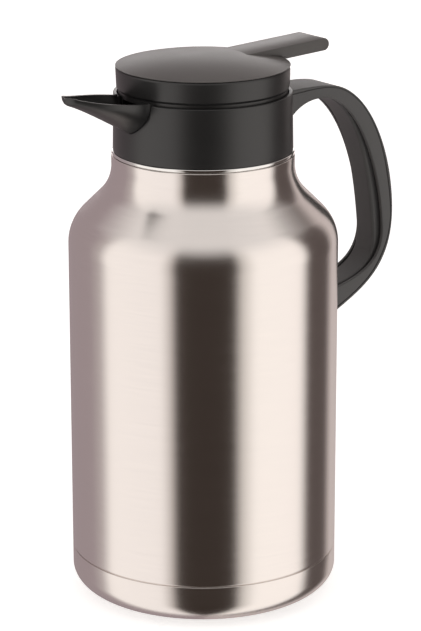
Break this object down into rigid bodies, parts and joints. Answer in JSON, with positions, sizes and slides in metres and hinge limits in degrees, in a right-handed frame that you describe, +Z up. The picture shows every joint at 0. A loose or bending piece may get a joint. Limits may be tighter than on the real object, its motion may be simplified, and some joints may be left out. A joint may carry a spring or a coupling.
{
  "type": "thermal carafe",
  "caption": "Double-walled steel thermal carafe with a black pouring head, C-shaped handle, screwed stopper and a rocking lid whose thumb lever lifts the pouring valve.",
  "frame": {"origin": "centre of the underside of the base, on the vessel's axis", "axes": "+Z up along the vessel's axis, +X towards the handle, -X towards the spout"},
  "size_m": [0.1936, 0.132, 0.2716],
  "materials": {
    "brushed_steel": "circumferentially brushed stainless steel, warm tone",
    "bright_steel": "plain stainless steel",
    "polished_ring": "polished",
    "black_plastic": "satin black plastic",
    "grip_plastic": "soft matte black plastic",
    "dome_plastic": "satin charcoal plastic",
    "silicone": "translucent silicone",
    "rubber": "non-slip rubber",
    "foam": "insulating foam"
  },
  "bodies": {
    "vessel": {"outer_shell": "brushed_steel", "base_cup": "brushed_steel", "base_pad": "rubber", "vacuum_plug": "bright_steel", "getter_cup": "bright_steel", "inner_flask": "bright_steel", "neck_ring": "polished_ring", "mouth_gasket": "silicone", "neck_clamp": "black_plastic", "collar": "black_plastic", "spout": "black_plastic", "handle_shell": "black_plastic", "handle_cover": "grip_plastic", "handle_bracket": "bright_steel", "handle_screws": "bright_steel"},
    "seal": {"stopper_gasket": "silicone"},
    "stopper": {"stopper_plug": "black_plastic", "plug_insulation": "foam", "stopper_deck": "black_plastic", "stopper_skirt": "black_plastic", "stem_guide": "black_plastic", "hinge_pin": "bright_steel"},
    "lid": {"lid_dome": "dome_plastic", "lid_liner": "black_plastic"},
    "valve": {"valve_stem": "bright_steel", "valve_disc": "black_plastic", "valve_seal": "silicone", "stem_head": "bright_steel", "valve_spring": "bright_steel"}
  },
  "joints": [
    {"name": "stopper_turn", "type": "hinge", "parent": "seal", "child": "stopper", "pos_m": [0, 0, 0.24], "axis": [0, 0, 1], "range_deg": [0, 1440]},
    {"name": "stopper_rise", "type": "slide", "parent": "vessel", "child": "seal", "axis": [0, 0, 1], "range_m": [0, 0.072]},
    {"name": "lid_rock", "type": "hinge", "parent": "stopper", "child": "lid", "pos_m": [0.0334, 0, 0.2596], "axis": [0, 1, 0], "range_deg": [0, 20]},
    {"name": "valve_lift", "type": "slide", "parent": "stopper", "child": "valve", "axis": [0, 0, 1], "range_m": [0, 0.012], "stiffness_N_per_m": 90, "springref_m": -0.006, "deforming": ["valve_spring"]}
  ],
  "couplings": [
    {"joint": "stopper_rise", "follows": "stopper_turn", "m_per_rad": 0.0028648},
    {"joint": "valve_lift", "follows": "lid_rock", "m_per_rad": 0.0341}
  ]
}
